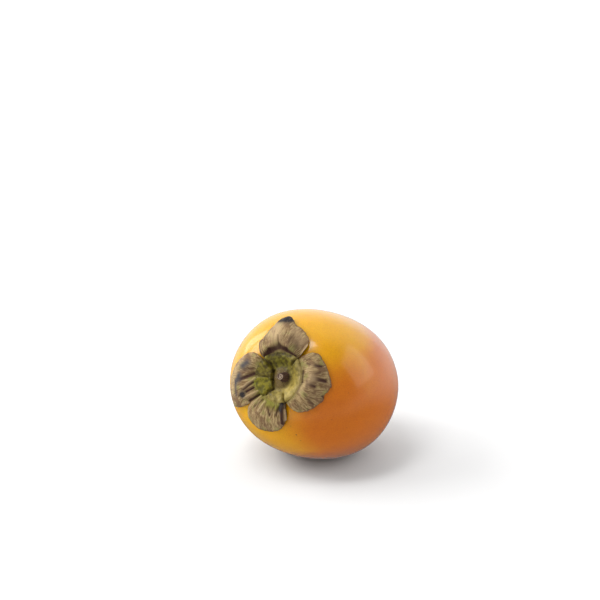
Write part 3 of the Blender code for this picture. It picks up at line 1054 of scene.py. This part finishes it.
def make_stalk_material():
    surface = Surface("dark_stalk", {"Specular IOR Level": 0.4})
    stalk = surface.layer("stalk", "Vector")
    outward = surface.layer("outward")
    x = surface.add("ShaderNodeSeparateXYZ", {0: stalk}, "X")
    y = surface.add("ShaderNodeSeparateXYZ", {0: stalk}, "Y")
    angle = surface.maths("ARCTAN2", y, x)
    spiral = surface.maths("SINE", surface.maths("MULTIPLY_ADD", outward, SPIRAL_TURN, angle))
    bark = surface.stretched_noise(stalk, BARK_STRETCH, detail=4.0, roughness=0.6)
    side = surface.blend(surface.rise(bark, *BARK_RISE), *BARK_SHADES)
    face = surface.blend(surface.rise(spiral, *SPIRAL_RISE), *SPIRAL_SHADES)
    high_up = surface.rise(surface.layer("height"), *TOP_START)
    top = surface.maths("MULTIPLY", high_up, surface.rise(outward, *TOP_EDGE))
    colour = surface.blend(top, side, face)
    roughness = surface.maths("MULTIPLY_ADD", bark, *BARK_ROUGHNESS)
    return surface.finish(colour, roughness, bark, BARK_BUMP)


def make_floor():
    """A white floor, wide enough to fill the view, that glows far off to meet the white room."""
    finish = {"Roughness": 0.9, "Specular IOR Level": 0.1, "Emission Color": (1, 1, 1, 1)}
    surface = Surface("white_floor", finish)
    from_fruit = surface.vector("LENGTH", surface.add("ShaderNodeTexCoord", {}, "Object"), output="Value")
    glow = surface.maths("MULTIPLY", surface.rise(from_fruit, *GLOW_REACH), FAR_GLOW)
    surface.feed(surface.shader.inputs["Emission Strength"], glow)
    mesh = bpy.data.meshes.new("floor")
    signs = ((-1, -1), (1, -1), (1, 1), (-1, 1))
    corners = [(x * FLOOR_HALF, y * FLOOR_HALF, FLOOR_LEVEL) for x, y in signs]
    mesh.from_pydata(corners, [], [(0, 1, 2, 3)])
    mesh.materials.append(surface.finish(FLOOR_COLOUR))
    floor = bpy.data.objects.new("floor", mesh)
    bpy.context.scene.collection.objects.link(floor)
    floor.visible_glossy = False


def towards(bearing, elevation):
    """The direction out from the fruit. Bearing 0 is the -Y side and 90 the +X side, in degrees."""
    turn, rise = math.radians(bearing), math.radians(elevation)
    return Vector((math.sin(turn) * math.cos(rise), -math.cos(turn) * math.cos(rise), math.sin(rise)))


def fading_light(tree, direction, fade, strengths):
    """The room's light, from the first strength to the second as the cosine from a direction grows."""
    facing = tree.nodes.new("ShaderNodeVectorMath")
    facing.operation = "DOT_PRODUCT"
    facing.inputs[1].default_value = direction
    outward = tree.nodes.new("ShaderNodeTexCoord").outputs["Generated"]
    tree.links.new(outward, facing.inputs[0])
    strength = tree.nodes.new("ShaderNodeMapRange")
    strength.interpolation_type = "SMOOTHSTEP"
    for socket, value in zip(strength.inputs[1:5], (*fade, *strengths)):
        socket.default_value = value
    tree.links.new(facing.outputs["Value"], strength.inputs["Value"])
    return strength.outputs[0]


def make_world():
    """A white room, dimmer towards the camera and dimmer below, where gloss sees past the floor."""
    world = bpy.data.worlds.new("studio")
    world.use_nodes = True
    bpy.context.scene.world = world
    tree = world.node_tree
    dim_side = fading_light(tree, towards(*DIM_SIDE), DIM_FADE, (WALL_LIGHT, DIM_LIGHT))
    below = fading_light(tree, (0, 0, 1), BELOW_FADE, (BELOW_LIGHT, WALL_LIGHT))
    dimmer = tree.nodes.new("ShaderNodeMath")
    dimmer.operation = "MINIMUM"
    tree.links.new(dim_side, dimmer.inputs[0])
    tree.links.new(below, dimmer.inputs[1])
    background = tree.nodes["Background"]
    tree.links.new(dimmer.outputs[0], background.inputs["Strength"])
    background.inputs["Color"].default_value = (1, 1, 1, 1)


def make_light(panel):
    """A rectangular soft light that faces the fruit."""
    light = bpy.data.lights.new(panel.name, "AREA")
    light.shape = "RECTANGLE"
    light.size = panel.width
    light.size_y = panel.height
    light.energy = panel.power
    lamp = bpy.data.objects.new(panel.name, light)
    bpy.context.scene.collection.objects.link(lamp)
    direction = towards(panel.bearing, panel.elevation)
    lamp.location = Vector(SHIFT) + direction * panel.distance
    lamp.rotation_euler = direction.to_track_quat("Z", "Y").to_euler()


def make_camera():
    data = bpy.data.cameras.new("camera")
    data.lens = LENS_MM
    data.sensor_width = SENSOR_MM
    camera = bpy.data.objects.new("camera", data)
    bpy.context.scene.collection.objects.link(camera)
    back = towards(CAMERA_BEARING, CAMERA_ELEVATION)
    camera.rotation_euler = back.to_track_quat("Z", "Y").to_euler()
    right = Vector((0, 0, 1)).cross(back).normalized()
    up = back.cross(right)
    fruit_middle = Vector(SHIFT) - Vector((0, 0, FLAT_SOFTNESS / 2))
    aim = fruit_middle + right * AIM_RIGHT + up * AIM_UP
    camera.location = aim + back * CAMERA_DISTANCE
    bpy.context.scene.camera = camera


def main():
    lobe_material = make_lobe_material()
    stalk_material = make_stalk_material()
    make_body(make_skin_material())
    make_disc(make_disc_material())
    for lobe in LOBES:
        make_lobe(lobe, lobe_material)
    make_stub(stalk_material)
    make_style(stalk_material)
    make_floor()
    make_world()
    for panel in PANELS:
        make_light(panel)
    make_camera()
    bpy.context.scene.view_settings.view_transform = "Standard"


main()
